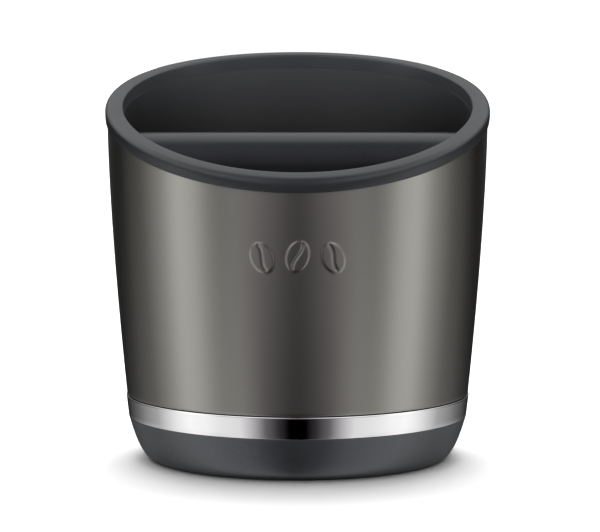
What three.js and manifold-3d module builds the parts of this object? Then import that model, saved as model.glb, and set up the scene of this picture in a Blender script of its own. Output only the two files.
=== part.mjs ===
// Espresso knock box: a round, tapered counter-top bin with a slanted mouth, a
// rubber rim collar, a brushed steel sleeve, a chrome trim band, a rubber base
// boot and a cushioned knock bar that lifts out of two cradles in the bin.
//
// Millimetres, +Z up. The origin is on the bin's axis at the height of the
// surface it stands on. -Y is the low, front side of the slanted mouth, and the
// knock bar runs along X.

import * as THREE from "three";
import { mergeVertices } from "three/addons/utils/BufferGeometryUtils.js";
import Module from "manifold-3d";

const wasm = await Module();
wasm.setup();

// ---------------------------------------------------------------- dimensions

const FACETS = 64; // sides of every ring about the bin's axis

// Sleeve: rolled steel, 0.6 mm, flaring from the base to a straight top zone
const SLEEVE_TOP_R = 70.7;
const SLEEVE_STRAIGHT_Z = 126.1; // above this height the sleeve is cylindrical
const SLEEVE_TAPER = 6.78; // radius lost over SLEEVE_TAPER_H below that height
const SLEEVE_TAPER_H = 102.0;
const SLEEVE_POWER = 1.5;
const SLEEVE_WALL = 0.6;
const SLEEVE_BOTTOM_Z = 24.4;
const SLEEVE_EDGE_DROP = 3.1; // sleeve's top edge, below the rim's top surface

// Rim: its top surface climbs from front to back, a little less steeply at the
// back: height = RIM_Z0 + RIM_SLOPE * y + RIM_BOW * y^2
const RIM_Z0 = 133.013;
const RIM_SLOPE = 0.294024;
const RIM_BOW = -6.6944e-4;

// Collar: an inverted U of rubber pressed over the sleeve's and liner's edges
const COLLAR_PROUD = 0.85; // outer wall, proud of the sleeve
const COLLAR_LIP_PROUD = 0.65; // lip at the bottom of the outer wall
const COLLAR_DROP = 5.1; // height of the outer wall
const COLLAR_INNER_R = 64.9;
const COLLAR_CORNER = 2.0; // height of the soft outer corner
const COLLAR_CORNER_ACROSS = 2.2; // and its width across the top face
const COLLAR_INNER_CORNER = 0.8;
const COLLAR_CROWN = 0.05; // how far the top face falls away to its corners
const COLLAR_LEG = 1.0; // inner leg's thickness
const GROOVE_CLEAR = 0.1; // sleeve in its groove, each side
const SLEEVE_GROOVE_DROP = 2.8; // groove tops, below the rim's top surface
const TONGUE_GROOVE_DROP = 2.6;
const COLLAR_RIB_DROP = 5.6; // bottom of the rib between the two grooves

// Liner: the moulded bin
const LINER_WALL = 2.2;
const LINER_TOP_R = 64.9;
const LINER_STRAIGHT_Z = 104.0;
const LINER_DRAFT = 9.5; // inner radius lost down to the floor
const LINER_FLOOR_Z = 16.0;
const LINER_UNDER_Z = 13.5;
const LINER_FILLET_Z = 27.0;
const LINER_FILLET_R = 10.5;
const LINER_SHOULDER_DROP = 5.4;
const TONGUE_DROP = 2.9;
const TONGUE_IN_R = 66.05;

// Cradles: U-shaped brackets moulded on the liner, left and right
const CRADLE_IN_X = 60.3;
const CRADLE_OUT_X = 65.6; // buried in the liner's wall
const CRADLE_HALF_W = 9.8;
const CRADLE_TOP_Z = 119.0;
const SLOT_HALF_W = 7.0;
const SLOT_FLOOR_Z = 96.7;

// Trim band
const BAND_TOP_Z = 24.1;
const BAND_BOTTOM_Z = 16.1;
const BAND_TOP_R = 64.25;
const BAND_BOTTOM_R = 63.35;
const BAND_BEVEL = 0.35;
const BAND_IN_R = 62.85;

// Base boot: radius(z) = BOOT_FLAT_R + BOOT_BULGE * (z / BOOT_H) ^ BOOT_POWER
const BOOT_FLAT_R = 53.33;
const BOOT_BULGE = 9.97;
const BOOT_H = 16.0;
const BOOT_POWER = 0.4333;
const BOOT_WALL = 2.0;
const BOOT_HOLE_R = 46.4; // opening under the base, closed by the pad

// Base pan: the rigid moulding inside the boot
const PAN_GAP = 0.3;
const PAN_UNDER_Z = 2.3;
const PAN_FLOOR_Z = 4.9;
const SPIGOT_OUT_R = 62.6;
const SPIGOT_IN_R = 60.4;
const SPIGOT_TOP_Z = 30.0;

// Non-slip pad under the base
const PAD_R = 46.0;
const PAD_H = 2.0;

// Four screws clamp the liner, collar and sleeve down on the base pan
const SCREW_CIRCLE_R = 38.0;
const SCREW_SHANK_R = 1.45;
const SCREW_HEAD_R = 3.4;
const SCREW_TIP_Z = 14.0;
const SCREW_SEAT_Z = 5.1;
const SCREW_HEAD_Z = 2.7;
const BOSS_R = 4.6;
const BOSS_BOTTOM_Z = 8.3;
const PILOT_R = 1.62;
const PILOT_TOP_Z = 14.6;
const WELL_R = 5.3;
const WELL_TOP_Z = 8.0;
const CLEARANCE_R = 1.95;
const COUNTERBORE_R = 3.85;
const COUNTERBORE_TOP_Z = 5.2;

// Knock bar
const BAR_HALF_L = 59.8;
const BAR_HALF_W = 12.0;
const BAR_TOP_Z = 121.6;
const BAR_BOTTOM_Z = 95.6;
const BAR_CORNER = 5.0; // radius of the two lower edges
const BAR_END_BEVEL = 0.8;
const CORE_Z = 108.8; // height of the core tube's axis
const CORE_OUT_R = 6.0;
const CORE_IN_R = 4.8;
const CORE_CLEAR = 0.2; // cushion's bore over the tube
const END_IN_X = 60.1;
const END_OUT_X = 62.8;
const END_HALF_W = 6.7;
const END_BOTTOM_Z = 97.0;
const END_TOP_Z = 118.0;
const PLUG_R = 4.6; // end plug inside the core tube
const PLUG_L = 12.0;

// ----------------------------------------------------------------- materials

const metal = (color, roughness) =>
  new THREE.MeshStandardMaterial({ color, roughness, metalness: 1.0 });
const matte = (color, roughness) =>
  new THREE.MeshStandardMaterial({ color, roughness, metalness: 0.0 });

const SLEEVE_STEEL = metal(0x7d7b78, 0.34);
const TRIM_CHROME = metal(0xd9dade, 0.05);
const COLLAR_RUBBER = matte(0x4b4e50, 0.62);
const LINER_PLASTIC = matte(0x2f3132, 0.5);
const BOOT_RUBBER = matte(0x2b2d30, 0.65);
const PAN_PLASTIC = matte(0x26282a, 0.55);
const PAD_RUBBER = matte(0x202224, 0.8);
const BAR_RUBBER = matte(0x3d4143, 0.55);
const CORE_STEEL = metal(0x9a9a98, 0.35);
const END_PLASTIC = matte(0x232526, 0.5);
const SCREW_STEEL = metal(0x8f9092, 0.4);

// ------------------------------------------------------------- mesh building

// A closed three.js geometry as a manifold-3d solid, faces pointing out.
function solid(geometry) {
  const g = geometry.clone();
  g.deleteAttribute("normal");
  g.deleteAttribute("uv");
  const merged = mergeVertices(g, 1e-4);
  const index = merged.index.array;
  const tris = [];
  for (let i = 0; i < index.length; i += 3) {
    const [a, b, c] = [index[i], index[i + 1], index[i + 2]];
    if (a !== b && b !== c && a !== c) tris.push(a, b, c);
  }
  const make = (t) =>
    new wasm.Manifold(
      new wasm.Mesh({
        numProp: 3,
        vertProperties: new Float32Array(merged.attributes.position.array),
        triVerts: new Uint32Array(t),
      }),
    );
  const s = make(tris);
  if (s.volume() > 0) return s;
  for (let i = 0; i < tris.length; i += 3)
    [tris[i + 1], tris[i + 2]] = [tris[i + 2], tris[i + 1]];
  return make(tris);
}

function mesh(name, s, material) {
  const m = s.getMesh();
  const n = m.numProp;
  const v = new Float32Array(m.numVert * 3);
  for (let i = 0; i < m.numVert; i++)
    v.set(m.vertProperties.subarray(i * n, i * n + 3), i * 3);
  const g = new THREE.BufferGeometry();
  g.setAttribute("position", new THREE.BufferAttribute(v, 3));
  g.setIndex(new THREE.BufferAttribute(new Uint32Array(m.triVerts), 1));
  g.computeVertexNormals();
  const out = new THREE.Mesh(g, material);
  out.name = name;
  return out;
}

// A ring about +Z whose section may change with the angle: section(phi) gives
// the same number of [radius, z] points for every angle. The lathe's own
// vertices are moved onto the section of their angle, phi from +X towards +Y.
function ring(section, facets = FACETS, closed = true) {
  const first = section(-Math.PI / 2);
  const points = first.map(([r, z]) => new THREE.Vector2(r, z));
  if (closed) points.push(points[0].clone());
  const g = new THREE.LatheGeometry(points, facets);
  const pos = g.attributes.position;
  const count = points.length;
  for (let i = 0; i <= facets; i++) {
    const turn = ((i % facets) / facets) * 2 * Math.PI;
    const phi = turn - Math.PI / 2;
    const s = section(phi);
    if (closed) s.push(s[0]);
    const [c, d] = [Math.cos(phi), Math.sin(phi)];
    for (let j = 0; j < count; j++)
      pos.setXYZ(i * count + j, s[j][0] * c, s[j][0] * d, s[j][1]);
  }
  return solid(g);
}

// A plain turned piece about a vertical axis through x, y.
function turned(points, facets, x = 0, y = 0) {
  const g = new THREE.LatheGeometry(
    points.map(([r, z]) => new THREE.Vector2(r, z)),
    facets,
  );
  g.rotateX(Math.PI / 2);
  g.translate(x, y, 0);
  return solid(g);
}

const upright = (r, z0, z1, x, y, sides) => {
  const g = new THREE.CylinderGeometry(r, r, z1 - z0, sides);
  g.rotateX(Math.PI / 2);
  g.translate(x, y, (z0 + z1) / 2);
  return solid(g);
};

// A [y, z] outline drawn in a THREE.Shape, extruded along X from x0 to x1.
function alongX(shape, x0, x1, bevel = 0, curveSegments = 8) {
  const g = new THREE.ExtrudeGeometry(shape, {
    depth: x1 - x0 - 2 * bevel,
    bevelEnabled: bevel > 0,
    bevelThickness: bevel,
    bevelSize: bevel,
    bevelOffset: -bevel,
    bevelSegments: 2,
    curveSegments,
  });
  // shape x, y, depth -> row y, z, x
  g.applyMatrix4(
    new THREE.Matrix4().set(0, 0, 1, x0 + bevel, 1, 0, 0, 0, 0, 1, 0, 0, 0, 0, 0, 1),
  );
  return solid(g);
}

// ------------------------------------------------------------ shared surfaces

const rimTop = (y) => RIM_Z0 + RIM_SLOPE * y + RIM_BOW * y * y;

const sleeveR = (z) =>
  z >= SLEEVE_STRAIGHT_Z
    ? SLEEVE_TOP_R
    : SLEEVE_TOP_R -
      SLEEVE_TAPER *
        Math.pow((SLEEVE_STRAIGHT_Z - z) / SLEEVE_TAPER_H, SLEEVE_POWER);

const linerR = (z) =>
  z >= LINER_STRAIGHT_Z
    ? LINER_TOP_R
    : LINER_TOP_R -
      LINER_DRAFT *
        Math.pow(
          (LINER_STRAIGHT_Z - z) / (LINER_STRAIGHT_Z - LINER_FLOOR_Z),
          SLEEVE_POWER,
        );

// A point at a given radius, a drop below the rim's top surface.
const atRim = (phi, r, drop) => [r, rimTop(r * Math.sin(phi)) - drop];

// The same, with the radius an offset from the sleeve's outer face.
function atSleeve(phi, offset, drop) {
  let r = SLEEVE_TOP_R + offset;
  for (let k = 0; k < 4; k++)
    r = sleeveR(rimTop(r * Math.sin(phi)) - drop) + offset;
  return atRim(phi, r, drop);
}

// ---------------------------------------------------------------- the pieces

function outerSleeve() {
  const LEVELS = 6;
  return ring((phi) => {
    const top = atSleeve(phi, 0, SLEEVE_EDGE_DROP);
    const out = [];
    for (let k = 0; k < LEVELS; k++) {
      const z = SLEEVE_BOTTOM_Z + ((top[1] - SLEEVE_BOTTOM_Z) * k) / LEVELS;
      out.push([sleeveR(z), z]);
    }
    out.push(top);
    const inner = out
      .slice(0, LEVELS)
      .map(([r, z]) => [r - SLEEVE_WALL, z])
      .reverse();
    return [...out, atRim(phi, top[0] - SLEEVE_WALL, SLEEVE_EDGE_DROP), ...inner];
  });
}

function rimCollar() {
  const arc = (phi, edge, sign, across, height, from, to, steps) => {
    const pts = [];
    for (let k = 0; k <= steps; k++) {
      const a = ((from + ((to - from) * k) / steps) * Math.PI) / 180;
      const r = edge - sign * across + across * Math.cos(a);
      pts.push(atRim(phi, r, COLLAR_CROWN + height - height * Math.sin(a)));
    }
    return pts;
  };
  return ring((phi) => {
    const wall = atSleeve(phi, COLLAR_PROUD, COLLAR_CORNER + COLLAR_CROWN);
    const mid =
      (wall[0] - COLLAR_CORNER_ACROSS + COLLAR_INNER_R + COLLAR_INNER_CORNER) / 2;
    return [
      atSleeve(phi, COLLAR_LIP_PROUD, COLLAR_DROP),
      atSleeve(phi, COLLAR_PROUD, COLLAR_DROP - 1.6),
      ...arc(phi, wall[0], 1, COLLAR_CORNER_ACROSS, COLLAR_CORNER, 0, 90, 4),
      atRim(phi, mid, 0),
      ...arc(
        phi,
        COLLAR_INNER_R,
        -1,
        COLLAR_INNER_CORNER,
        COLLAR_INNER_CORNER,
        90,
        180,
        2,
      ),
      atRim(phi, COLLAR_INNER_R, COLLAR_DROP),
      atRim(phi, COLLAR_INNER_R + COLLAR_LEG, COLLAR_DROP),
      atRim(phi, COLLAR_INNER_R + COLLAR_LEG, TONGUE_GROOVE_DROP),
      atRim(phi, LINER_TOP_R + LINER_WALL + 0.15, TONGUE_GROOVE_DROP),
      atRim(phi, LINER_TOP_R + LINER_WALL + 0.15, COLLAR_RIB_DROP),
      atSleeve(phi, -SLEEVE_WALL - GROOVE_CLEAR, COLLAR_RIB_DROP),
      atSleeve(phi, -SLEEVE_WALL - GROOVE_CLEAR, SLEEVE_GROOVE_DROP),
      atSleeve(phi, GROOVE_CLEAR, SLEEVE_GROOVE_DROP),
      atSleeve(phi, GROOVE_CLEAR, COLLAR_DROP),
    ];
  });
}

function innerLiner() {
  const levels = [LINER_FILLET_Z, 50, 77, LINER_STRAIGHT_Z];
  const cr = linerR(LINER_FILLET_Z) - LINER_FILLET_R;
  const fillet = (rr, rz) =>
    [60, 30].map((d) => {
      const a = (d * Math.PI) / 180;
      return [cr + rr * Math.cos(a), LINER_FILLET_Z - 0.5 - rz * Math.sin(a)];
    });
  const floorDrop = LINER_FILLET_Z - 0.5 - LINER_FLOOR_Z;
  const underDrop = LINER_FILLET_Z - 0.5 - LINER_UNDER_Z;
  let s = ring(
    (phi) => [
      [0, LINER_FLOOR_Z],
      [cr, LINER_FLOOR_Z],
      ...fillet(LINER_FILLET_R, floorDrop),
      ...levels.map((z) => [linerR(z), z]),
      atRim(phi, LINER_TOP_R, LINER_SHOULDER_DROP),
      atRim(phi, TONGUE_IN_R, LINER_SHOULDER_DROP),
      atRim(phi, TONGUE_IN_R, TONGUE_DROP),
      atRim(phi, LINER_TOP_R + LINER_WALL, TONGUE_DROP),
      ...levels.map((z) => [linerR(z) + LINER_WALL, z]).reverse(),
      ...fillet(LINER_FILLET_R + LINER_WALL, underDrop).reverse(),
      [cr, LINER_UNDER_Z],
      [0, LINER_UNDER_Z],
    ],
    FACETS,
    false,
  );
  // cradles for the bar's ends
  for (const side of [1, -1]) {
    const u = new THREE.Shape();
    u.moveTo(-CRADLE_HALF_W, CRADLE_TOP_Z);
    u.lineTo(-CRADLE_HALF_W, SLOT_FLOOR_Z + 1);
    u.lineTo(-5.5, SLOT_FLOOR_Z - 5.5);
    u.lineTo(5.5, SLOT_FLOOR_Z - 5.5);
    u.lineTo(CRADLE_HALF_W, SLOT_FLOOR_Z + 1);
    u.lineTo(CRADLE_HALF_W, CRADLE_TOP_Z);
    u.lineTo(SLOT_HALF_W + 1.2, CRADLE_TOP_Z);
    u.lineTo(SLOT_HALF_W, CRADLE_TOP_Z - 2.4);
    u.lineTo(SLOT_HALF_W, SLOT_FLOOR_Z);
    u.lineTo(-SLOT_HALF_W, SLOT_FLOOR_Z);
    u.lineTo(-SLOT_HALF_W, CRADLE_TOP_Z - 2.4);
    u.lineTo(-SLOT_HALF_W - 1.2, CRADLE_TOP_Z);
    u.closePath();
    const [a, b] =
      side > 0 ? [CRADLE_IN_X, CRADLE_OUT_X] : [-CRADLE_OUT_X, -CRADLE_IN_X];
    s = s.add(alongX(u, a, b));
  }
  // screw bosses under the floor, with blind pilot holes
  for (const [x, y] of screwPlaces()) {
    s = s.add(upright(BOSS_R, BOSS_BOTTOM_Z, LINER_UNDER_Z + 1, x, y, 20));
    s = s.subtract(upright(PILOT_R, BOSS_BOTTOM_Z - 1, PILOT_TOP_Z, x, y, 12));
  }
  return s;
}

function trimBand() {
  return ring(() => [
    [BAND_IN_R, BAND_BOTTOM_Z],
    [BAND_BOTTOM_R, BAND_BOTTOM_Z],
    [BAND_TOP_R, BAND_TOP_Z - BAND_BEVEL],
    [BAND_TOP_R - BAND_BEVEL, BAND_TOP_Z],
    [BAND_IN_R, BAND_TOP_Z],
  ]);
}

// The boot's outer curve, from its flat underside to its top edge, and the same
// curve moved inwards by a distance along its normal. Steps run from 0 to 1
// across the bulge.
const bootR = (z) => BOOT_FLAT_R + BOOT_BULGE * Math.pow(z / BOOT_H, BOOT_POWER);
function bootCurve(inset, steps) {
  return steps.map((t) => {
    const z = BOOT_H * Math.pow(t, 1 / BOOT_POWER);
    const slope =
      (BOOT_H / BOOT_BULGE / BOOT_POWER) * Math.pow(t, 1 / BOOT_POWER - 1);
    const len = Math.hypot(1, slope);
    return [
      BOOT_FLAT_R + BOOT_BULGE * t - (inset * slope) / len,
      Math.min(z + inset / len, BOOT_H),
    ];
  });
}
const BOOT_STEPS = [0, 0.2, 0.4, 0.6, 0.8, 0.93];

function baseBoot() {
  const inner = bootCurve(BOOT_WALL, BOOT_STEPS).reverse();
  const topIn = bootR(BOOT_H) - BOOT_WALL * 1.035;
  return ring(() => [
    [BOOT_HOLE_R, 0],
    ...bootCurve(0, BOOT_STEPS),
    [bootR(BOOT_H), BOOT_H],
    [topIn, BOOT_H],
    ...inner,
    [BOOT_HOLE_R, BOOT_WALL],
  ]);
}

function basePan() {
  const outer = bootCurve(BOOT_WALL + PAN_GAP, BOOT_STEPS);
  const edge = bootR(BOOT_H) - (BOOT_WALL + PAN_GAP) * 1.035;
  let s = ring(
    () => [
      [0, PAN_UNDER_Z],
      ...outer,
      [edge, BAND_BOTTOM_Z],
      [SPIGOT_OUT_R, BAND_BOTTOM_Z],
      [SPIGOT_OUT_R, SPIGOT_TOP_Z - 0.6],
      [SPIGOT_OUT_R - 0.6, SPIGOT_TOP_Z],
      [SPIGOT_IN_R, SPIGOT_TOP_Z],
      [SPIGOT_IN_R, 18.5],
      [58.6, 15.0],
      [56.6, 9.6],
      [53.6, 6.2],
      [50.0, PAN_FLOOR_Z],
      [0, PAN_FLOOR_Z],
    ],
    FACETS,
    false,
  );
  for (const [x, y] of screwPlaces()) {
    s = s.add(upright(WELL_R, PAN_FLOOR_Z - 1, WELL_TOP_Z, x, y, 20));
    s = s.subtract(upright(CLEARANCE_R, 0, WELL_TOP_Z + 1, x, y, 12));
    s = s.subtract(upright(COUNTERBORE_R, 0, COUNTERBORE_TOP_Z, x, y, 20));
  }
  return s;
}

const nonSlipPad = () =>
  turned(
    [
      [0, 0],
      [PAD_R - 0.4, 0],
      [PAD_R, 0.4],
      [PAD_R, PAD_H],
      [0, PAD_H],
    ],
    FACETS,
  );

function screwPlaces() {
  return [45, 135, 225, 315].map((d) => {
    const a = (d * Math.PI) / 180;
    return [SCREW_CIRCLE_R * Math.cos(a), SCREW_CIRCLE_R * Math.sin(a)];
  });
}

const baseScrew = (x, y) =>
  turned(
    [
      [0, SCREW_TIP_Z],
      [0.6, SCREW_TIP_Z],
      [SCREW_SHANK_R, SCREW_TIP_Z - 1.6],
      [SCREW_SHANK_R, SCREW_SEAT_Z],
      [SCREW_HEAD_R, SCREW_SEAT_Z],
      [SCREW_HEAD_R, SCREW_SEAT_Z - 1.1],
      [SCREW_HEAD_R - 1.1, SCREW_HEAD_Z],
      [1.2, SCREW_HEAD_Z],
      [0.9, SCREW_HEAD_Z + 1.3],
      [0, SCREW_HEAD_Z + 1.3],
    ],
    12,
    x,
    y,
  );

// Bar section: a half round on top, straight sides, and rounded lower edges.
function barOutline() {
  const zc = BAR_TOP_Z - BAR_HALF_W;
  const s = new THREE.Shape();
  s.moveTo(BAR_HALF_W, zc);
  s.absarc(0, zc, BAR_HALF_W, 0, Math.PI, false);
  s.lineTo(-BAR_HALF_W, BAR_BOTTOM_Z + BAR_CORNER);
  s.absarc(
    -BAR_HALF_W + BAR_CORNER,
    BAR_BOTTOM_Z + BAR_CORNER,
    BAR_CORNER,
    Math.PI,
    1.5 * Math.PI,
    false,
  );
  s.lineTo(BAR_HALF_W - BAR_CORNER, BAR_BOTTOM_Z);
  s.absarc(
    BAR_HALF_W - BAR_CORNER,
    BAR_BOTTOM_Z + BAR_CORNER,
    BAR_CORNER,
    1.5 * Math.PI,
    2 * Math.PI,
    false,
  );
  s.closePath();
  return s;
}

function disc(r) {
  const s = new THREE.Shape();
  s.absarc(0, CORE_Z, r, 0, 2 * Math.PI, false);
  return s;
}

function barCushion() {
  const body = alongX(barOutline(), -BAR_HALF_L, BAR_HALF_L, BAR_END_BEVEL, 12);
  const bore = alongX(
    disc(CORE_OUT_R + CORE_CLEAR),
    -BAR_HALF_L - 2,
    BAR_HALF_L + 2,
    0,
    14,
  );
  return body.subtract(bore);
}

function barCore() {
  const tube = alongX(disc(CORE_OUT_R), -BAR_HALF_L + 0.3, BAR_HALF_L - 0.3, 0, 14);
  const bore = alongX(disc(CORE_IN_R), -BAR_HALF_L - 2, BAR_HALF_L + 2, 0, 14);
  return tube.subtract(bore);
}

function barEnd(side) {
  const r = 2.0;
  const s = new THREE.Shape();
  s.moveTo(END_HALF_W, END_BOTTOM_Z + r);
  s.lineTo(END_HALF_W, END_TOP_Z - 4);
  s.absarc(END_HALF_W - 4, END_TOP_Z - 4, 4, 0, Math.PI / 2, false);
  s.lineTo(-END_HALF_W + 4, END_TOP_Z);
  s.absarc(-END_HALF_W + 4, END_TOP_Z - 4, 4, Math.PI / 2, Math.PI, false);
  s.lineTo(-END_HALF_W, END_BOTTOM_Z + r);
  s.absarc(-END_HALF_W + r, END_BOTTOM_Z + r, r, Math.PI, 1.5 * Math.PI, false);
  s.lineTo(END_HALF_W - r, END_BOTTOM_Z);
  s.absarc(END_HALF_W - r, END_BOTTOM_Z + r, r, 1.5 * Math.PI, 2 * Math.PI, false);
  s.closePath();
  const at = (a, b) => (side > 0 ? [a, b] : [-b, -a]);
  const plate = alongX(s, ...at(END_IN_X, END_OUT_X), 0, 4);
  const plug = alongX(disc(PLUG_R), ...at(END_IN_X - PLUG_L, END_IN_X + 1), 0, 12);
  return plate.add(plug);
}

// ------------------------------------------------------------------ assembly

const box = new THREE.Group();

const shell = new THREE.Group(); // everything that stays on the counter
shell.add(mesh("outer_sleeve", outerSleeve(), SLEEVE_STEEL));
shell.add(mesh("rim_collar", rimCollar(), COLLAR_RUBBER));
shell.add(mesh("inner_liner", innerLiner(), LINER_PLASTIC));
shell.add(mesh("trim_band", trimBand(), TRIM_CHROME));
box.add(shell);

const base = new THREE.Group();
base.add(mesh("base_boot", baseBoot(), BOOT_RUBBER));
base.add(mesh("base_pan", basePan(), PAN_PLASTIC));
base.add(mesh("non_slip_pad", nonSlipPad(), PAD_RUBBER));
screwPlaces().forEach(([x, y], i) =>
  base.add(mesh("base_screw_" + (i + 1), baseScrew(x, y), SCREW_STEEL)),
);
box.add(base);

const bar = new THREE.Group(); // lifts out along +Z
bar.add(mesh("bar_cushion", barCushion(), BAR_RUBBER));
bar.add(mesh("bar_core", barCore(), CORE_STEEL));
bar.add(mesh("bar_end_right", barEnd(1), END_PLASTIC));
bar.add(mesh("bar_end_left", barEnd(-1), END_PLASTIC));
box.add(bar);

export default box;
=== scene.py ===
"""Espresso knock box: the looks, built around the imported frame.

Lengths in the numbers below are millimetres and become metres when a mesh is made. The frame is the
part's own: origin on the bin's axis at counter height, +Z up, -Y the low front of the slanted mouth,
the knock bar along X.
"""

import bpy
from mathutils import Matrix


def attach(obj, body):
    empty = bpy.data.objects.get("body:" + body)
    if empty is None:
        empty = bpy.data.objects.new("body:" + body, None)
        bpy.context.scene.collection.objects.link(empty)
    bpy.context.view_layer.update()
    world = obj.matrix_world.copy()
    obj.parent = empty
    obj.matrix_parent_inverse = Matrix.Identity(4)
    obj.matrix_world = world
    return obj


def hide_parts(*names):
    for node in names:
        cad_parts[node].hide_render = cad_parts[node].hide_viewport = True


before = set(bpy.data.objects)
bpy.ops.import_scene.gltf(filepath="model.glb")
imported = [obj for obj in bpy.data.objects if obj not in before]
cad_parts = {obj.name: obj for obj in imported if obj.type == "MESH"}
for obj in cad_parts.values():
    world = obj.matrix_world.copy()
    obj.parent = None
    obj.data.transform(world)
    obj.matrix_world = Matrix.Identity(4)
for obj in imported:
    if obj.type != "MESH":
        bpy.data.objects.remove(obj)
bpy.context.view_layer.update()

import math

import bmesh
import bpy
import numpy as np
from mathutils import Vector

MM = 0.001
TAU = 2 * math.pi
scene = bpy.context.scene

# ------------------------------------------------------------------ shared curves (mm)

SLEEVE_TOP_R = 70.7
SLEEVE_WALL = 0.6
SLEEVE_BOTTOM = 24.4
COLLAR_IN = 64.9


def rim_top(y):
    return 133.013 + 0.294024 * y - 6.6944e-4 * y * y


def sleeve_r(z):
    return SLEEVE_TOP_R - 6.78 * np.power(np.clip((126.1 - z) / 102.0, 0, None), 1.5)


def liner_r(z):
    return 64.9 - 9.5 * np.power(np.clip((104.0 - z) / 88.0, 0, None), 1.5)


def at_rim(phi, r, drop):
    """A point at radius r, a drop below the rim's top surface."""
    return (r, rim_top(r * math.sin(phi)) - drop)


def at_sleeve(phi, offset, drop):
    """The same with the radius an offset from the sleeve's outer face."""
    r = SLEEVE_TOP_R + offset
    for _ in range(4):
        r = float(sleeve_r(rim_top(r * math.sin(phi)) - drop)) + offset
    return at_rim(phi, r, drop)


def arc(cx, cy, r, a0, a1, n, ry=None):
    """n + 1 points of an arc, angles in degrees."""
    ry = r if ry is None else ry
    out = []
    for k in range(n + 1):
        a = math.radians(a0 + (a1 - a0) * k / n)
        out.append((cx + r * math.cos(a), cy + ry * math.sin(a)))
    return out


# ------------------------------------------------------------------ mesh tools


def make_object(name, verts, faces, mat, sharp=32.0, recalc=True):
    me = bpy.data.meshes.new(name)
    me.from_pydata([tuple(c * MM for c in v) for v in verts], [], faces)
    me.update()
    ob = bpy.data.objects.new(name, me)
    scene.collection.objects.link(ob)
    tidy(ob, sharp, recalc)
    if mat is not None:
        me.materials.append(mat)
    return ob


def tidy(ob, sharp=32.0, recalc=True):
    """Outward normals, smooth faces, and creases marked where faces meet sharply."""
    me = ob.data
    bm = bmesh.new()
    bm.from_mesh(me)
    bmesh.ops.remove_doubles(bm, verts=bm.verts, dist=1e-7)
    bmesh.ops.dissolve_degenerate(bm, edges=bm.edges, dist=1e-8)
    if recalc:
        bmesh.ops.recalc_face_normals(bm, faces=bm.faces)
    limit = math.radians(sharp)
    for f in bm.faces:
        f.smooth = True
    for e in bm.edges:
        e.smooth = len(e.link_faces) == 2 and e.calc_face_angle(0.0) < limit
    bm.to_mesh(me)
    bm.free()
    me.update()


def ring_mesh(section, phis, closed=True):
    """A ring about Z. section(phi) gives the same number of (radius, z) points at every angle. A section that is
    not closed starts and ends on the axis."""
    rows = [section(p) for p in phis]
    count = len(rows[0])
    verts, faces = [], []
    if closed:
        for p, row in zip(phis, rows):
            c, s = math.cos(p), math.sin(p)
            verts += [(r * c, r * s, z) for r, z in row]
        m = len(phis)
        for i in range(m):
            a, b = i * count, ((i + 1) % m) * count
            for j in range(count):
                k = (j + 1) % count
                faces.append((a + j, b + j, b + k, a + k))
        return verts, faces
    first, last = rows[0][0], rows[0][-1]
    inner = count - 2
    for p, row in zip(phis, rows):
        c, s = math.cos(p), math.sin(p)
        verts += [(r * c, r * s, z) for r, z in row[1:-1]]
    top, bottom = len(verts), len(verts) + 1
    verts += [(0, 0, first[1]), (0, 0, last[1])]
    m = len(phis)
    for i in range(m):
        a, b = i * inner, ((i + 1) % m) * inner
        faces.append((top, b, a))
        for j in range(inner - 1):
            faces.append((a + j, b + j, b + j + 1, a + j + 1))
        faces.append((bottom, a + inner - 1, b + inner - 1))
    return verts, faces


def even(n):
    return [TAU * i / n for i in range(n)]


def ring(name, section, mat, n=192, closed=True, sharp=32.0):
    return make_object(name, *ring_mesh(section, even(n), closed), mat, sharp)


def turned(name, points, mat, n=48, x=0.0, y=0.0, axis="Z", sharp=32.0, closed=False):
    """A plain turned piece about an upright axis through x, y, or about X."""
    verts, faces = ring_mesh(lambda p: points, even(n), closed)
    if axis == "X":
        verts = [(c, a, b) for a, b, c in verts]
    verts = [(a + x, b + y, c) if axis == "Z" else (a, b + x, c + y) for a, b, c in verts]
    return make_object(name, verts, faces, mat, sharp)


def prism_x(name, outline, stations, mat, sharp=32.0):
    """Lofts a closed (y, z) outline along X. stations are (x, inset) pairs; an inset shrinks the outline along its
    normals, which rounds the ends."""
    pts = np.array(outline, float)
    nxt, prv = np.roll(pts, -1, 0), np.roll(pts, 1, 0)
    t = nxt - prv
    nrm = np.stack([t[:, 1], -t[:, 0]], 1)
    nrm /= np.linalg.norm(nrm, axis=1)[:, None]
    area = 0.5 * np.sum(pts[:, 0] * nxt[:, 1] - nxt[:, 0] * pts[:, 1])
    if area < 0:
        nrm = -nrm
    verts, faces = [], []
    n = len(pts)
    for x, inset in stations:
        q = pts - nrm * inset
        verts += [(x, a, b) for a, b in q]
    for i in range(len(stations) - 1):
        for j in range(n):
            k = (j + 1) % n
            faces.append((i * n + j, i * n + k, (i + 1) * n + k, (i + 1) * n + j))
    faces.append(tuple(range(n)))
    faces.append(tuple((len(stations) - 1) * n + j for j in reversed(range(n))))
    return make_object(name, verts, faces, mat, sharp)


def boolean(target, tool, kind):
    """Joins or cuts target with tool, applies it and removes the tool."""
    mod = target.modifiers.new("b", "BOOLEAN")
    mod.operation = kind
    mod.solver = "EXACT"
    mod.object = tool
    dg = bpy.context.evaluated_depsgraph_get()
    me = bpy.data.meshes.new_from_object(target.evaluated_get(dg))
    target.modifiers.remove(mod)
    old = target.data
    target.data = me
    bpy.data.meshes.remove(old)
    gone = tool.data
    bpy.data.objects.remove(tool)
    bpy.data.meshes.remove(gone)


# ------------------------------------------------------------------ materials


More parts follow.
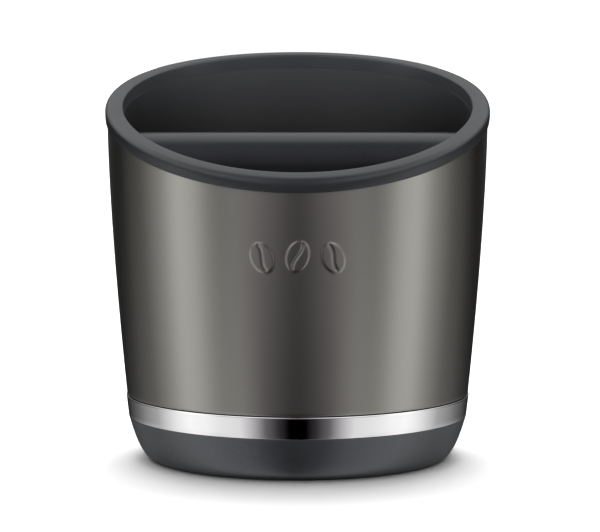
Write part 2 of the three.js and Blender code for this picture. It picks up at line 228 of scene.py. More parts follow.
class Nodes:
    """Short-hand for building a node tree."""

    def __init__(self, tree):
        self.tree = tree

    def new(self, kind, **props):
        n = self.tree.nodes.new(kind)
        for k, v in props.items():
            setattr(n, k, v)
        return n

    def link(self, a, b):
        self.tree.links.new(a, b)

    def math(self, op, a, b=None, c=None, clamp=False):
        n = self.new("ShaderNodeMath", operation=op, use_clamp=clamp)
        for i, v in enumerate((a, b, c)):
            if v is None:
                continue
            if hasattr(v, "is_output"):
                self.link(v, n.inputs[i])
            else:
                n.inputs[i].default_value = v
        return n.outputs[0]

    def coords(self, scale=(1, 1, 1), rot=(0, 0, 0)):
        tc = self.new("ShaderNodeTexCoord")
        mp = self.new("ShaderNodeMapping")
        mp.inputs["Scale"].default_value = scale
        mp.inputs["Rotation"].default_value = rot
        self.link(tc.outputs["Object"], mp.inputs["Vector"])
        return mp.outputs["Vector"]

    def noise(self, vector, scale, detail=4.0, rough=0.55, distortion=0.0):
        n = self.new("ShaderNodeTexNoise")
        n.inputs["Scale"].default_value = scale
        n.inputs["Detail"].default_value = detail
        n.inputs["Roughness"].default_value = rough
        n.inputs["Distortion"].default_value = distortion
        self.link(vector, n.inputs["Vector"])
        return n.outputs["Fac"]

    def voronoi(self, vector, scale, feature="F1"):
        n = self.new("ShaderNodeTexVoronoi", feature=feature)
        n.inputs["Scale"].default_value = scale
        self.link(vector, n.inputs["Vector"])
        return n.outputs["Distance"]

    def spread(self, value, lo, hi, to_lo, to_hi):
        n = self.new("ShaderNodeMapRange")
        n.inputs["From Min"].default_value = lo
        n.inputs["From Max"].default_value = hi
        n.inputs["To Min"].default_value = to_lo
        n.inputs["To Max"].default_value = to_hi
        self.link(value, n.inputs["Value"])
        return n.outputs["Result"]

    def tint(self, fac, a, b):
        n = self.new("ShaderNodeMix", data_type="RGBA")
        n.inputs["A"].default_value = (*a, 1)
        n.inputs["B"].default_value = (*b, 1)
        self.link(fac, n.inputs["Factor"])
        return n.outputs["Result"]

    def bump(self, height, distance, strength=1.0, normal=None):
        n = self.new("ShaderNodeBump")
        n.inputs["Strength"].default_value = strength
        n.inputs["Distance"].default_value = distance
        self.link(height, n.inputs["Height"])
        if normal is not None:
            self.link(normal, n.inputs["Normal"])
        return n.outputs["Normal"]


def v_object(n):
    return n.new("ShaderNodeTexCoord").outputs["Object"]


def material(name):
    m = bpy.data.materials.new(name)
    m.use_nodes = True
    b = m.node_tree.nodes["Principled BSDF"]
    return m, Nodes(m.node_tree), b


def brushed_sleeve():
    """Dark stainless, brushed round the sleeve: long fine scratches round the axis, with slow cloudy variation."""
    m, n, b = material("brushed_dark_steel")
    b.inputs["Metallic"].default_value = 1.0
    b.inputs["Anisotropic"].default_value = 0.88
    b.inputs["Anisotropic Rotation"].default_value = 0.25
    tan = n.new("ShaderNodeTangent", direction_type="RADIAL", axis="Z")
    n.link(tan.outputs["Tangent"], b.inputs["Tangent"])
    fine = n.noise(n.coords((70, 70, 9000)), 1.0, 3.0, 0.6)
    long = n.noise(n.coords((22, 22, 2600)), 1.0, 2.0, 0.5)
    cloud = n.noise(n.coords(), 24.0, 2.0, 0.5)
    streak = n.math("MULTIPLY_ADD", fine, 0.6, n.math("MULTIPLY", long, 0.4))
    n.link(
        n.tint(
            n.spread(streak, 0.34, 0.66, 0, 1), (0.3105, 0.3035, 0.2790), (0.3195, 0.3120, 0.2870)
        ),
        b.inputs["Base Color"],
    )
    rough = n.math(
        "ADD", n.spread(streak, 0.3, 0.7, 0.275, 0.295), n.spread(cloud, 0.3, 0.7, -0.006, 0.006)
    )
    n.link(rough, b.inputs["Roughness"])
    n.link(n.bump(streak, 0.000006, 0.15), b.inputs["Normal"])
    return m


def chrome():
    """Mirror plating with the faintest haze and polishing marks."""
    m, n, b = material("bright_chrome")
    b.inputs["Metallic"].default_value = 1.0
    haze = n.noise(n.coords(), 55.0, 3.0, 0.5)
    marks = n.noise(n.coords((90, 90, 4200)), 1.0, 2.0, 0.5)
    n.link(
        n.tint(n.spread(haze, 0.3, 0.7, 0, 1), (0.925, 0.925, 0.925), (0.950, 0.950, 0.948)),
        b.inputs["Base Color"],
    )
    n.link(n.spread(haze, 0.3, 0.7, 0.045, 0.075), b.inputs["Roughness"])
    n.link(n.bump(marks, 0.000004, 0.2), b.inputs["Normal"])
    return m


def rubber(name, dark, light, rough_lo, rough_hi, grain=5200.0, depth=0.00002, spec=0.5, bore=None):
    """Moulded soft-touch rubber: fine spark-eroded grain, cloudy sheen, and colour a little lighter along convex edges.
    """
    m, n, b = material(name)
    b.inputs["Specular IOR Level"].default_value = spec
    b.inputs["Specular Tint"].default_value = (0.95, 1.0, 1.06, 1)
    v = n.coords()
    cloud = n.noise(v, 36.0, 3.0, 0.55)
    fine = n.noise(v, grain, 2.0, 0.6)
    cells = n.voronoi(v, grain * 0.35)
    edge = n.new("ShaderNodeNewGeometry").outputs["Pointiness"]
    mix = n.math(
        "ADD", n.spread(cloud, 0.3, 0.7, 0.0, 0.6), n.spread(edge, 0.5, 0.56, 0.0, 0.4), clamp=True
    )
    colour = n.tint(mix, dark, light)
    if bore:  # inside this radius the skin takes a lighter grey, the tone of the liner wall below it
        axis = n.new("ShaderNodeVectorMath", operation="MULTIPLY")
        n.link(v_object(n), axis.inputs[0])
        axis.inputs[1].default_value = (1.0, 1.0, 0.0)
        radius = n.new("ShaderNodeVectorMath", operation="LENGTH")
        n.link(axis.outputs["Vector"], radius.inputs[0])
        bore_grey = n.new("ShaderNodeMix", data_type="RGBA")
        n.link(n.spread(radius.outputs["Value"], bore[0], bore[0] + 0.0003, 1.0, 0.0), bore_grey.inputs["Factor"])
        n.link(colour, bore_grey.inputs["A"])
        bore_grey.inputs["B"].default_value = (*bore[1], 1)
        colour = bore_grey.outputs["Result"]
    n.link(colour, b.inputs["Base Color"])
    n.link(
        n.math(
            "ADD",
            n.spread(cloud, 0.3, 0.7, rough_lo, rough_hi),
            n.spread(fine, 0.3, 0.7, -0.03, 0.03),
        ),
        b.inputs["Roughness"],
    )
    height = n.math("MULTIPLY_ADD", cells, 0.5, n.math("MULTIPLY", fine, 0.5))
    n.link(n.bump(height, depth, 0.45), b.inputs["Normal"])
    return m


def plastic(name, dark, light, rough_lo, rough_hi, grain=3600.0, depth=0.00002, painted_depth_shade=None):
    """Injection-moulded plastic with a fine texture and slight flow marks up the draw. Optionally it also gets painted
    shade that darkens the wall towards the bottom and towards the flanks.
    """
    m, n, b = material(name)
    v = n.coords()
    flow = n.noise(n.coords((14, 14, 5)), 1.0, 3.0, 0.5, 0.6)
    fine = n.noise(v, grain, 2.0, 0.6)
    cells = n.voronoi(v, grain * 0.5)
    colour = n.tint(n.spread(flow, 0.3, 0.7, 0, 1), dark, light)
    if painted_depth_shade:  # painted shade: the colour darkens from the first height down to the second
        height = n.new("ShaderNodeSeparateXYZ")
        n.link(v_object(n), height.inputs[0])
        wavy = n.math("MULTIPLY_ADD", n.noise(v, 40.0, 3.0, 0.6), 0.006, height.outputs["Z"])
        depth_shade_mix = n.new("ShaderNodeMix", data_type="RGBA")
        shade_amount = n.spread(wavy, painted_depth_shade[1] + 0.003, painted_depth_shade[0] + 0.003, 1.0, 0.0)
        n.link(shade_amount, depth_shade_mix.inputs["Factor"])
        n.link(colour, depth_shade_mix.inputs["A"])
        depth_shade_mix.inputs["B"].default_value = (0.0135, 0.0125, 0.0118, 1)
        # painted shade, darker again towards the flanks away from X = 0
        across = n.math("ABSOLUTE", height.outputs["X"])
        flank_shade = n.new("ShaderNodeMix", data_type="RGBA")
        n.link(n.math("MULTIPLY", shade_amount, n.spread(across, 0.026, 0.062, 0.0, 1.0)), flank_shade.inputs["Factor"])
        n.link(depth_shade_mix.outputs["Result"], flank_shade.inputs["A"])
        flank_shade.inputs["B"].default_value = (0.0036, 0.0036, 0.0037, 1)
        colour = flank_shade.outputs["Result"]
    n.link(colour, b.inputs["Base Color"])
    n.link(
        n.math(
            "ADD",
            n.spread(flow, 0.3, 0.7, rough_lo, rough_hi),
            n.spread(fine, 0.3, 0.7, -0.03, 0.03),
        ),
        b.inputs["Roughness"],
    )
    n.link(
        n.bump(n.math("MULTIPLY_ADD", cells, 0.4, n.math("MULTIPLY", fine, 0.6)), depth, 0.5),
        b.inputs["Normal"],
    )
    return m


def machined(name, dark, light, rough=0.34, axis="Z"):
    """Plain drawn or turned steel with fine marks round its axis."""
    m, n, b = material(name)
    b.inputs["Metallic"].default_value = 1.0
    s = {"Z": (300, 300, 9000), "X": (9000, 300, 300)}[axis]
    marks = n.noise(n.coords(s), 1.0, 3.0, 0.6)
    cloud = n.noise(n.coords(), 90.0, 2.0, 0.5)
    n.link(n.tint(n.spread(marks, 0.3, 0.7, 0, 1), dark, light), b.inputs["Base Color"])
    n.link(
        n.math("ADD", n.spread(marks, 0.3, 0.7, rough - 0.05, rough + 0.05), n.spread(cloud, 0.3, 0.7, -0.03, 0.05)),
        b.inputs["Roughness"],
    )
    n.link(n.bump(marks, 0.00001, 0.35), b.inputs["Normal"])
    return m


STEEL = brushed_sleeve()
CHROME = chrome()
COLLAR = rubber(
    "collar_soft_rubber",
    (0.0098, 0.0108, 0.0118),
    (0.0138, 0.0150, 0.0162),
    0.32,
    0.38,
    bore=(0.0650, (0.050, 0.054, 0.058)),
)
BOOT = rubber("boot_soft_rubber", (0.0195, 0.0215, 0.0236), (0.0270, 0.0293, 0.0318), 0.27, 0.33, spec=1.0)
PAD = rubber("pad_rubber", (0.018, 0.019, 0.020), (0.028, 0.029, 0.030), 0.70, 0.82, 2600.0, 0.00004)
BAR = rubber("bar_satin_rubber", (0.0140, 0.0152, 0.0166), (0.0190, 0.0204, 0.0222), 0.28, 0.34, 4200.0, 0.000012)
# the liner's colour carries painted shade low in the cavity and at its flanks
LINER = plastic("liner_moulded_plastic", (0.052, 0.056, 0.060), (0.060, 0.064, 0.068), 0.44, 0.52, painted_depth_shade=(0.142, 0.112))
PAN = plastic("pan_moulded_plastic", (0.024, 0.025, 0.027), (0.031, 0.032, 0.034), 0.45, 0.55)
END = plastic("bar_end_plastic", (0.022, 0.023, 0.024), (0.030, 0.031, 0.032), 0.40, 0.50)
CORE = machined("core_drawn_steel", (0.44, 0.44, 0.43), (0.56, 0.56, 0.55), 0.33, "X")
SCREW = machined("screw_steel", (0.36, 0.36, 0.37), (0.48, 0.48, 0.49), 0.36, "Z")

# ------------------------------------------------------------------ sleeve


def bean(u, v, tilt, a=6.1, b=4.25):
    """Relief of one coffee bean about (0, 0): a raised oval with a wavy crease along it. Height from 0 to 1."""
    c, s = math.cos(tilt), math.sin(tilt)
    p, q = u * c + v * s, -u * s + v * c
    rho = np.sqrt((p / b) ** 2 + (q / a) ** 2)
    edge = (1 - rho) * (a + b) / 2
    t = np.clip(edge / 0.95, 0, 1)
    body = t * t * (3 - 2 * t)
    crease = p - 0.75 * np.sin(q / a * math.pi * 0.95)
    inside = np.clip((0.9 * a - np.abs(q)) / 1.0, 0, 1)
    return body * (1 - 0.95 * np.exp(-((crease / 0.52) ** 2)) * inside)


def motif(s, z):
    """Height in mm of the pressed motif at arc length s from the front centre line and height z."""
    out = np.zeros_like(s)
    for k, tilt in ((-1, 0.42), (0, -0.30), (1, 0.42)):
        out = out + bean(s - k * 12.6, z - 81.0 - 0.6 * (1 - abs(k)), tilt)
    return 0.22 * np.clip(out, 0, 1)


def build_sleeve():
    dense = np.arange(-20.5, 20.51, 0.28) / 69.0  # radians from the front centre line
    coarse = np.linspace(dense[-1], TAU + dense[0], 190)[1:-1]
    rel = np.concatenate([dense, coarse])
    phis = rel - math.pi / 2
    low = [24.4, 24.5, 24.65, 24.9, 25.6, 27.5, 30]
    zs = np.concatenate(
        [low, np.arange(33, 72.1, 3.0), np.arange(72.6, 90.01, 0.28), np.arange(91, 104.1, 2.2)]
    )
    verts, faces = [], []
    top_steps = 9
    per = len(zs) + top_steps
    for r_, p in zip(rel, phis):
        c, s = math.cos(p), math.sin(p)
        arc_len = np.full(len(zs), ((r_ + math.pi) % TAU - math.pi) * 69.0)
        lift = np.where(np.abs(arc_len) < 22, motif(arc_len, zs), 0.0)
        tuck = 0.22 * np.clip((24.9 - zs) / 0.5, 0, 1) ** 2
        rr = sleeve_r(zs) + lift - tuck
        verts += [(r * c, r * s, z) for r, z in zip(rr, zs)]
        top = at_sleeve(p, 0, 3.1)
        z0 = zs[-1]
        for k in range(1, top_steps + 1):
            z = z0 + (top[1] - z0) * k / top_steps
            r = float(sleeve_r(z))
            verts.append((r * c, r * s, z))
    m = len(phis)
    for i in range(m):
        a, b = i * per, ((i + 1) % m) * per
        for j in range(per - 1):
            faces.append((a + j, b + j, b + j + 1, a + j + 1))
    # inner face
    base = len(verts)
    inz = np.linspace(24.4, 104, 22)
    per2 = len(inz) + 1
    for p in phis:
        c, s = math.cos(p), math.sin(p)
        for z in inz:
            r = float(sleeve_r(z)) - SLEEVE_WALL
            verts.append((r * c, r * s, z))
        top = at_sleeve(p, 0, 3.1)
        r = top[0] - SLEEVE_WALL
        verts.append((r * c, r * s, rim_top(r * s) - 3.1))
    for i in range(m):
        a, b = base + i * per2, base + ((i + 1) % m) * per2
        for j in range(per2 - 1):
            faces.append((b + j, a + j, a + j + 1, b + j + 1))
        o0, o1 = i * per, ((i + 1) % m) * per
        faces.append((o1, o0, a, b))
        faces.append((o0 + per - 1, o1 + per - 1, b + per2 - 1, a + per2 - 1))
    return make_object("sleeve_shell", verts, faces, STEEL, 40.0)


sleeve = build_sleeve()

# ------------------------------------------------------------------ rim collar


def collar_section(phi):
    corner, across, crown, inner = 2.0, 2.2, 0.09, 0.8
    wall = at_sleeve(phi, 0.85, corner + crown)
    out = [
        at_sleeve(phi, 0.22, 5.1),
        at_sleeve(phi, 0.50, 5.1),
        at_sleeve(phi, 0.62, 5.02),
        at_sleeve(phi, 0.67, 4.85),
        at_sleeve(phi, 0.74, 4.3),
        at_sleeve(phi, 0.81, 3.6),
        at_sleeve(phi, 0.84, 2.9),
    ]
    for k in range(15):
        a = math.radians(90 * k / 14)
        out.append(
            at_rim(
                phi,
                wall[0] - across + across * math.cos(a),
                crown + corner - corner * math.sin(a),
            )
        )
    r0, r1 = wall[0] - across, COLLAR_IN + inner
    for k in range(1, 6):
        t = k / 6
        out.append(at_rim(phi, r0 + (r1 - r0) * t, crown * (2 * t - 1) ** 2))
    for k in range(8):
        a = math.radians(90 + 90 * k / 7)
        out.append(
            at_rim(
                phi,
                COLLAR_IN + inner + inner * math.cos(a),
                crown + inner - inner * math.sin(a),
            )
        )
    out += [
        at_rim(phi, COLLAR_IN, 2.4),
        at_rim(phi, COLLAR_IN, 5.06),
        at_rim(phi, COLLAR_IN + 0.04, 5.1),
        at_rim(phi, 65.9, 5.1),
        at_rim(phi, 65.9, 2.6),
        at_rim(phi, 67.25, 2.6),
        at_rim(phi, 67.25, 5.6),
        at_sleeve(phi, -SLEEVE_WALL - 0.1, 5.6),
        at_sleeve(phi, -SLEEVE_WALL - 0.1, 2.8),
        at_sleeve(phi, 0.1, 2.8),
        at_sleeve(phi, 0.1, 5.0),
    ]
    return out


collar = ring("collar", collar_section, COLLAR, n=256)

# ------------------------------------------------------------------ liner

FIL_R, FIL_Z = 10.5, 26.5
CR = float(liner_r(27.0)) - FIL_R


def liner_section(phi):
    zs = [27.0, 34, 42, 50, 58, 66, 74, 82, 90, 97, 104]
    out = [(0, 16.0), (14, 16.0), (30, 16.0), (CR, 16.0)]
    out += arc(CR, FIL_Z, FIL_R, -80, -10, 7)
    out += [(float(liner_r(z)), z) for z in zs]
    top = at_rim(phi, 64.9, 5.16)
    out += [(64.9, 104 + (top[1] - 104) * k / 3) for k in (1, 2)]
    out += [at_rim(phi, 64.9, 5.2), at_rim(phi, 64.95, 5.15), at_rim(phi, 66.05, 5.15)]
    out += [at_rim(phi, 66.05, 2.9), at_rim(phi, 67.1, 2.9)]
    out += [(float(liner_r(z)) + 2.2, z) for z in reversed(zs)]
    out += arc(CR, FIL_Z, FIL_R + 2.2, -10, -80, 7, 13.0)
    out += [(CR, 13.5), (0, 13.5)]
    return out


liner = ring("liner", liner_section, None, n=192, closed=False)


def cradle_outline():
    """(y, z) outline of one cradle: a U with eased corners and a lead-in at the mouth of its slot."""
    w, top, floor = 9.8, 119.0, 96.7
    out = arc(w - 1.0, top - 1.0, 1.0, 0, 90, 4)
    out += [(8.2, top), (7.35, top - 1.2), (7.0, top - 2.4)]
    out += arc(7.0 - 1.2, floor + 1.2, 1.2, 0, -90, 4)
    out += arc(-7.0 + 1.2, floor + 1.2, 1.2, -90, -180, 4)
    out += [(-7.0, top - 2.4), (-7.35, top - 1.2), (-8.2, top)]
    out += arc(-w + 1.0, top - 1.0, 1.0, 90, 180, 4)
    out += [(-w, floor + 1.6), (-w + 0.5, floor + 0.4), (-6.0, floor - 5.1), (-5.2, floor - 5.5)]
    out += [(5.2, floor - 5.5), (6.0, floor - 5.1), (w - 0.5, floor + 0.4), (w, floor + 1.6)]
    return out


for side in (-1, 1):
    st = [(60.3, 0.55), (60.38, 0.28), (60.6, 0.08), (60.9, 0.0), (65.6, 0.0)]
    u = prism_x("u", cradle_outline(), [(side * x, i) for x, i in st], None)
    boolean(liner, u, "UNION")
for k in range(4):
    a = math.radians(45 + 90 * k)
    x, y = 38 * math.cos(a), 38 * math.sin(a)
    boss = turned("boss", [(0, 14.6), (4.6, 14.6), (4.6, 8.6), (4.3, 8.3), (0, 8.3)], None, 40, x, y)
    boolean(liner, boss, "UNION")
    pilot = turned("pilot", [(0, 14.6), (1.62, 14.4), (1.62, 8.8), (2.0, 8.2), (2.0, 7), (0, 7)], None, 24, x, y)
    boolean(liner, pilot, "DIFFERENCE")
liner.data.materials.clear()
liner.data.materials.append(LINER)
tidy(liner, 30.0)

# ------------------------------------------------------------------ trim band


def band_section(phi):
    out = [(62.85, 16.3), (63.05, 16.1), (63.2, 16.1)]
    out += arc(63.2, 16.25, 0.15, -90, -8, 4)
    out += [(63.55, 18.0), (63.80, 20.0), (64.02, 21.9), (64.18, 23.2)]
    out += arc(63.92, 23.72, 0.33, -4, 90, 9)
    out += [(63.5, 24.07), (63.1, 24.07), (62.85, 23.85)]
    return out


band = ring("chrome_band", band_section, CHROME, n=256, sharp=40.0)

# ------------------------------------------------------------------ base boot


def boot_curve(inset, ts):
    out = []
    for t in ts:
        z = 16.0 * t ** (1 / 0.4333)
        slope = 16.0 / 9.97 / 0.4333 * t ** (1 / 0.4333 - 1)
        ln = math.hypot(1, slope)
        out.append((53.33 + 9.97 * t - inset * slope / ln, z + inset / ln))
    return out


def boot_section(phi):
    ts = [0, 0.05, 0.1, 0.15, 0.2, 0.26, 0.32, 0.38, 0.45, 0.52, 0.6, 0.68, 0.76, 0.84, 0.9, 0.95, 0.982]
    out = [(46.4, 0.35), (46.7, 0.05), (47.2, 0.0), (50.2, 0.0)]
    out += [(r, max(z, 0.0)) for r, z in boot_curve(0, ts)]
    out += [(63.27, 15.78), (63.18, 15.93), (63.0, 16.0), (61.23, 16.0)]
    inner = [p for p in boot_curve(2.0, [0, 0.12, 0.24, 0.36, 0.5, 0.64, 0.78, 0.9])]
    out += list(reversed(inner))
    out += [(50.0, 2.0), (46.4, 2.0)]
    return out


boot = ring("boot", boot_section, BOOT, n=256, sharp=38.0)

# ------------------------------------------------------------------ base pan


def pan_section(phi):
    outer = boot_curve(2.3, [0, 0.12, 0.24, 0.36, 0.5, 0.64, 0.78, 0.9])
    out = [(0, 2.3), (20, 2.3), (44, 2.3)] + outer
    out += [(60.92, 16.1), (62.45, 16.1), (62.6, 16.25), (62.6, 22), (62.6, 29.2)]
    out += arc(62.0, 29.4, 0.6, 0, 90, 4)
    out += [(60.7, 30.0), (60.4, 29.7), (60.4, 18.5), (60.1, 17.0), (58.6, 15.0)]
    out += [(57.4, 11.6), (56.2, 9.1), (54.6, 7.0), (52.6, 5.5), (50.0, 4.9), (20, 4.9), (0, 4.9)]
    return out


pan = ring("pan", pan_section, None, n=160, closed=False)
for k in range(4):
    a = math.radians(45 + 90 * k)
    x, y = 38 * math.cos(a), 38 * math.sin(a)
    well = turned("well", [(0, 8.0), (5.0, 8.0), (5.3, 7.7), (5.3, 3.6), (0, 3.6)], None, 48, x, y)
    boolean(pan, well, "UNION")
    bore = turned("bore", [(0, 9), (2.3, 9), (2.3, 8.05), (1.95, 7.7), (1.95, 5.2), (3.85, 5.2), (3.85, 1), (0, 1)], None, 40, x, y)
    boolean(pan, bore, "DIFFERENCE")
pan.data.materials.clear()
pan.data.materials.append(PAN)
tidy(pan, 30.0)

# ------------------------------------------------------------------ non-slip pad


def pad_section(phi):
    out = [(0, 0.55), (3.0, 0.55)]
    r = 3.4
    while r < 43.5:  # concentric grip ribs, level with the boot's underside
        out += [(r, 0.10), (r + 0.15, 0.0), (r + 1.35, 0.0), (r + 1.5, 0.10), (r + 1.75, 0.5), (r + 2.25, 0.5)]
        r += 2.5
    out += [(44.2, 0.0), (45.5, 0.0), (45.85, 0.12), (46.0, 0.45), (46.0, 1.7), (45.7, 2.0), (0, 2.0)]
    return out


pad = ring("grip_pad", pad_section, PAD, n=128, closed=False, sharp=25.0)

# ------------------------------------------------------------------ screws


def screw(name, x, y):
    prof = [(0, 14.0), (0.35, 13.95), (0.95, 12.9), (1.2, 12.4)]
    z = 12.2
    while z > 6.6:  # thread crests
        prof += [(1.44, z), (1.44, z - 0.12), (1.16, z - 0.42), (1.16, z - 0.56)]
        z -= 0.8
    prof += [(1.45, 6.2), (1.45, 5.3), (1.6, 5.1), (3.3, 5.1), (3.4, 5.0), (3.4, 4.1)]
    prof += arc(2.3, 4.0, 1.1, 0, -80, 7, 1.25)
    prof += [(2.2, 2.72), (0, 2.7)]
    ob = turned(name, prof, None, 40, x, y, sharp=30.0)
    for turn in (0.35, 0.35 + math.pi / 2):  # cross recess
        c, s = math.cos(turn), math.sin(turn)
        vs = []
        for z, w, l in ((2.4, 0.42, 1.75), (4.35, 0.2, 0.5)):
            for a, b in ((l, w), (-l, w), (-l, -w), (l, -w)):
                vs.append((x + a * c - b * s, y + a * s + b * c, z))
        cut = make_object("cut", vs, [(3, 2, 1, 0), (4, 5, 6, 7), (0, 1, 5, 4), (1, 2, 6, 5), (2, 3, 7, 6), (3, 0, 4, 7)], None)
        boolean(ob, cut, "DIFFERENCE")
    ob.data.materials.clear()
    ob.data.materials.append(SCREW)
    tidy(ob, 28.0)
    return ob


screws = []
for k in range(4):
    a = math.radians(45 + 90 * k)
    screws.append(screw("screw_%d" % (k + 1), 38 * math.cos(a), 38 * math.sin(a)))

# ------------------------------------------------------------------ knock bar


def bar_outline():
    """(y, z) outline of the cushion: half round on top, nearly straight sides, rounded lower edges."""
    top, bottom, half, corner = 121.6, 95.6, 12.0, 5.0
    zc = top - half
    out = arc(0, zc, half, 0, 180, 48)
    out += [(-half, zc - 3.0), (-half, bottom + corner + 3)]
    out += arc(-half + corner, bottom + corner, corner, 180, 270, 14)
    out += [(-3.5, bottom), (3.5, bottom)]
    out += arc(half - corner, bottom + corner, corner, 270, 360, 14)
    out += [(half, bottom + corner + 3), (half, zc - 3.0)]
    return out


def rounded_ends(half, r, steps, inner):
    """Stations along X with the ends rounded by a quarter circle of radius r."""
    ends = []
    for k in range(steps + 1):
        a = math.radians(90 * k / steps)
        ends.append((half - r + r * math.sin(a), r - r * math.cos(a)))
    left = [(-x, i) for x, i in reversed(ends)]
    return left + [(x, 0.0) for x in inner] + ends


cushion = prism_x(
    "knock_cushion", bar_outline(), rounded_ends(59.8, 1.4, 6, [-40, -20, 0, 20, 40]), None, 40.0
)
bore = turned("bore", [(0, -70), (6.2, -70), (6.2, 70), (0, 70)], None, 48, 0, 108.8, "X")
boolean(cushion, bore, "DIFFERENCE")
cushion.data.materials.clear()
cushion.data.materials.append(BAR)
tidy(cushion, 40.0)

core = turned(
    "core_tube",
    [(4.8, -59.3), (5.0, -59.5), (5.8, -59.5), (6.0, -59.3), (6.0, 0), (6.0, 59.3), (5.8, 59.5), (5.0, 59.5), (4.8, 59.3), (4.8, 0)],
    CORE, 64, 0, 108.8, "X", closed=True,
)


def end_outline():
    w, lo, hi = 6.7, 97.0, 118.0
    out = arc(w - 4, hi - 4, 4.0, 0, 90, 10)
    out += arc(-w + 4, hi - 4, 4.0, 90, 180, 10)
    out += arc(-w + 2, lo + 2, 2.0, 180, 270, 8)
    out += arc(w - 2, lo + 2, 2.0, 270, 360, 8)
    return out


ends = {}
for side, name in ((1, "right"), (-1, "left")):
    st = [(60.1, 0.12), (60.25, 0.0), (62.0, 0.0), (62.45, 0.12), (62.7, 0.35), (62.8, 0.7)]
    ob = prism_x("bar_tenon_" + name, end_outline(), [(side * x, i) for x, i in st], None)
    plug = turned(
        "plug",
        [(0, side * 48.1), (4.0, side * 48.1), (4.6, side * 48.9), (4.6, side * 60.6), (0, side * 60.6)],
        None, 40, 0, 108.8, "X",
    )
    boolean(ob, plug, "UNION")
    ob.data.materials.clear()
    ob.data.materials.append(END)
    tidy(ob, 32.0)
    ends[name] = ob

# ------------------------------------------------------------------ what each piece stands for

for piece, node, slot_name, body in (
    (sleeve, "outer_sleeve", "sleeve_steel", "bin"),
    (collar, "rim_collar", "collar_rubber", "bin"),
    (liner, "inner_liner", "liner_plastic", "bin"),
    (band, "trim_band", "trim_chrome", "bin"),
    (boot, "base_boot", "boot_rubber", "bin"),
    (pan, "base_pan", "pan_plastic", "bin"),
    (pad, "non_slip_pad", "pad_rubber", "bin"),
    (screws[0], "base_screw_1", "screw_steel", "bin"),
    (screws[1], "base_screw_2", "screw_steel", "bin"),
    (screws[2], "base_screw_3", "screw_steel", "bin"),
    (screws[3], "base_screw_4", "screw_steel", "bin"),
    (cushion, "bar_cushion", "bar_rubber", "knock_bar"),
    (core, "bar_core", "core_steel", "knock_bar"),
    (ends["right"], "bar_end_right", "end_plastic", "knock_bar"),
    (ends["left"], "bar_end_left", "end_plastic", "knock_bar"),
):
    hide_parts(node)
    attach(piece, body)

# ------------------------------------------------------------------ floor

bm = bmesh.new()
bmesh.ops.create_circle(bm, cap_ends=True, segments=96, radius=6.0)
me = bpy.data.meshes.new("floor")
bm.to_mesh(me)
bm.free()
floor = bpy.data.objects.new("floor", me)
scene.collection.objects.link(floor)
fm, fn, fb = material("white_sweep")
fb.inputs["Specular IOR Level"].default_value = 0.0
fb.inputs["Roughness"].default_value = 0.9
fn.link(
    fn.tint(fn.noise(fn.coords(), 3.0, 2.0), (0.150, 0.150, 0.150), (0.154, 0.154, 0.154)),
    fb.inputs["Base Color"],
)
me.materials.append(fm)
floor.visible_glossy = False

# ------------------------------------------------------------------ backdrop

bm = bmesh.new()
bmesh.ops.create_icosphere(bm, subdivisions=4, radius=9.0)
me = bpy.data.meshes.new("backdrop")
bm.to_mesh(me)
bm.free()
backdrop = bpy.data.objects.new("backdrop", me)
scene.collection.objects.link(backdrop)
wm = bpy.data.materials.new("white_backdrop")
wm.use_nodes = True
wn = Nodes(wm.node_tree)
wm.node_tree.nodes.clear()
glow = wn.new("ShaderNodeEmission")
glow.inputs["Strength"].default_value = 1.05
wn.link(glow.outputs[0], wn.new("ShaderNodeOutputMaterial").inputs["Surface"])
me.materials.append(wm)
for kind in ("diffuse", "glossy", "transmission", "volume_scatter", "shadow"):
    setattr(backdrop, "visible_" + kind, False)

# ------------------------------------------------------------------ studio light

# Radiance of the light tent by direction: azimuth from the camera's side (0) to the back (180), one row of values
# for each elevation in degrees. It is linear between the knots.
AZ = [0, 6, 13, 22, 32, 40, 48, 56, 66, 78, 92, 110, 135, 180]
TENT = {
    -32: [0.000, 0.000, 0.030, 0.119, 0.425, 0.730, 0.758, 0.712, 0.812, 0.991, 0.839, 0.430, 0.155, 0.000],
    -20: [0.000, 0.000, 0.028, 0.127, 0.508, 0.749, 0.799, 0.861, 0.951, 0.964, 0.831, 0.459, 0.321, 0.000],
    -8: [0.270, 0.300, 0.263, 0.092, 0.000, 0.000, 0.000, 0.371, 1.338, 1.782, 0.720, 0.184, 0.000, 0.000],
    14: [0.080, 0.150, 0.550, 0.969, 0.927, 0.700, 0.316, 0.265, 0.388, 0.458, 0.105, 0.000, 0.000, 0.350],
    45: [0.000, 0.282, 0.610, 1.033, 1.502, 1.878, 2.050, 1.950, 1.880, 1.850, 1.850, 1.850, 1.700, 1.000],
    75: [0.200, 0.200, 0.200, 0.200, 0.200, 0.220, 0.250, 0.300, 0.350, 0.450, 0.600, 0.850, 1.200, 1.450],
}


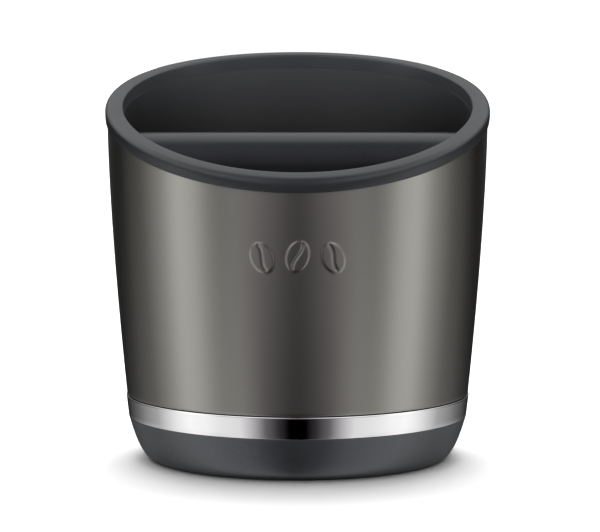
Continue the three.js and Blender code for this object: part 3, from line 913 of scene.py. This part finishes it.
def set_world():
    w = bpy.data.worlds.new("studio")
    w.use_nodes = True
    w.cycles.sampling_method = "NONE"  # the floor is clear to glossy rays, so only they may fetch the tent below it
    t = w.node_tree
    t.nodes.clear()
    n = Nodes(t)
    tc = n.new("ShaderNodeTexCoord")
    sep = n.new("ShaderNodeSeparateXYZ")
    n.link(tc.outputs["Generated"], sep.inputs[0])
    x, y, z = sep.outputs
    az = n.math("DIVIDE", n.math("ABSOLUTE", n.math("ARCTAN2", x, n.math("MULTIPLY", y, -1.0))), math.pi)
    el = n.math("MULTIPLY", n.math("ARCSINE", z), 180 / math.pi)

    def ramp(values):
        r = n.new("ShaderNodeFloatCurve")
        c = r.mapping.curves[0]
        peak = max(max(values), 1e-3)
        c.points[0].location = (0, values[0] / peak)
        c.points[1].location = (1, values[-1] / peak)
        for a, v in list(zip(AZ, values))[1:-1]:
            c.points.new(a / 180, v / peak)
        for p in c.points:
            p.handle_type = "VECTOR"
        r.mapping.update()
        n.link(az, r.inputs["Value"])
        return n.math("MULTIPLY", r.outputs[0], peak)

    heights = sorted(TENT)
    rows = [ramp(TENT[h]) for h in heights]
    total = rows[0]
    for k in range(1, len(heights)):
        step = n.new("ShaderNodeMapRange", clamp=True)
        n.link(el, step.inputs["Value"])
        step.inputs["From Min"].default_value = heights[k - 1]
        step.inputs["From Max"].default_value = heights[k]
        total = n.math("MULTIPLY_ADD", step.outputs[0], n.math("SUBTRACT", rows[k], rows[k - 1]), total)
    bg = n.new("ShaderNodeBackground")
    # the light is a little purple straight ahead of the object and plain everywhere else
    n.link(n.tint(n.spread(az, 0.05, 0.26, 1.0, 0.0), (1.0, 1.0, 1.0), (1.045, 0.962, 1.065)), bg.inputs["Color"])
    n.link(total, bg.inputs["Strength"])
    out = n.new("ShaderNodeOutputWorld")
    n.link(bg.outputs[0], out.inputs[0])
    scene.world = w


set_world()


def floor_light(name, spread, strength, tilt):
    """Soft light from above and behind that only reaches the floor and draws the shadow in front of the foot."""
    lamp = bpy.data.lights.new(name, "SUN")
    lamp.angle = math.radians(spread)
    lamp.energy = strength
    ob = bpy.data.objects.new(name, lamp)
    ob.location = (0, 0.6, 1.5)
    ob.rotation_euler = (math.radians(-tilt), 0, 0)
    scene.collection.objects.link(ob)
    ob.light_linking.receiver_collection = FLOOR_ONLY
    return ob


FLOOR_ONLY = bpy.data.collections.new("floor_only")
FLOOR_ONLY.objects.link(floor)
floor_light("floor_light_sky", 130.0, 6.1, 9.0)
floor_light("floor_light_broad", 84.0, 14.2, 24.0)
floor_light("floor_light_middle", 40.0, 11.3, 25.0)
floor_light("floor_light_narrow", 8.0, 1.8, 0.0)

# ------------------------------------------------------------------ camera and picture

cam = bpy.data.cameras.new("camera")
cam.lens = 160.966
cam.sensor_width = 36.0
cam.shift_x = (300.0 - 297.6) / 600.0
cam.shift_y = 0.0
cam.clip_start, cam.clip_end = 0.05, 50.0
cam_ob = bpy.data.objects.new("camera", cam)
cam_ob.location = (0, -1.0, 0.1699)
cam_ob.rotation_euler = (math.radians(90 - 5.619), 0, 0)
scene.collection.objects.link(cam_ob)
scene.camera = cam_ob

scene.view_settings.view_transform = "Standard"
scene.view_settings.look = "None"
scene.view_settings.exposure = 0.0
scene.view_settings.gamma = 1.0
scene.cycles.use_denoising = True
scene.cycles.max_bounces = 8
